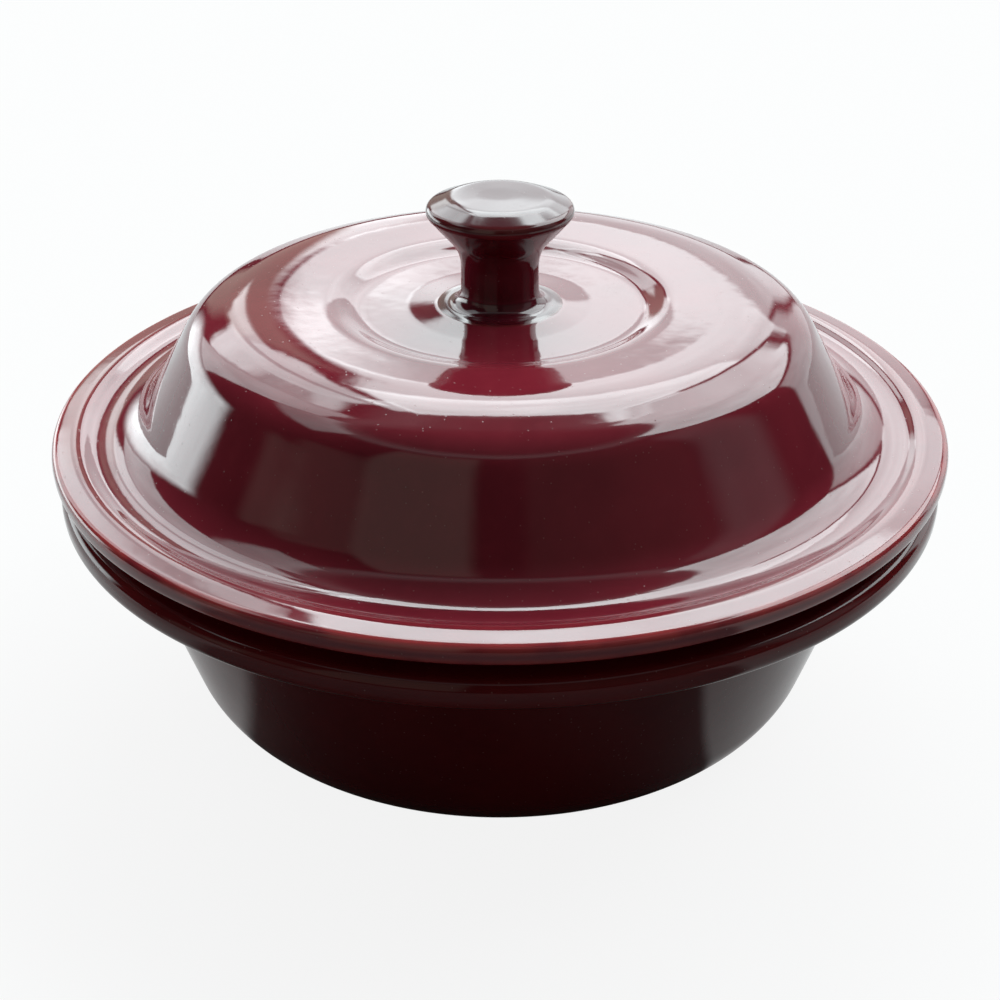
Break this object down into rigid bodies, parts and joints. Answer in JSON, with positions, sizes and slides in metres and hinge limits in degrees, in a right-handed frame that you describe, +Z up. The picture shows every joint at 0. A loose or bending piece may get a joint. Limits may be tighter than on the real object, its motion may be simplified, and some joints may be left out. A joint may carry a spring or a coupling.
{
  "type": "dutch oven",
  "caption": "Round glazed stoneware dutch oven: a tapered pot with a flanged rim, and a brimmed, domed lid with a waisted knob that lifts off.",
  "frame": {"origin": "on the table, under the middle of the pot's foot ring", "axes": "+Z up along the pot's axis, through the knob; X and Y are alike, since every piece is round"},
  "size_m": [0.29, 0.29, 0.171],
  "materials": {
    "burgundy_glaze": "glossy burgundy glaze over stoneware, bare on the foot ring"
  },
  "bodies": {
    "pot": {"pot": "burgundy_glaze"},
    "lid": {"lid": "burgundy_glaze", "knob": "burgundy_glaze"}
  },
  "joints": [
    {"name": "lid_lift", "type": "slide", "parent": "pot", "child": "lid", "axis": [0, 0, 1], "range_m": [0, 0.15]}
  ]
}
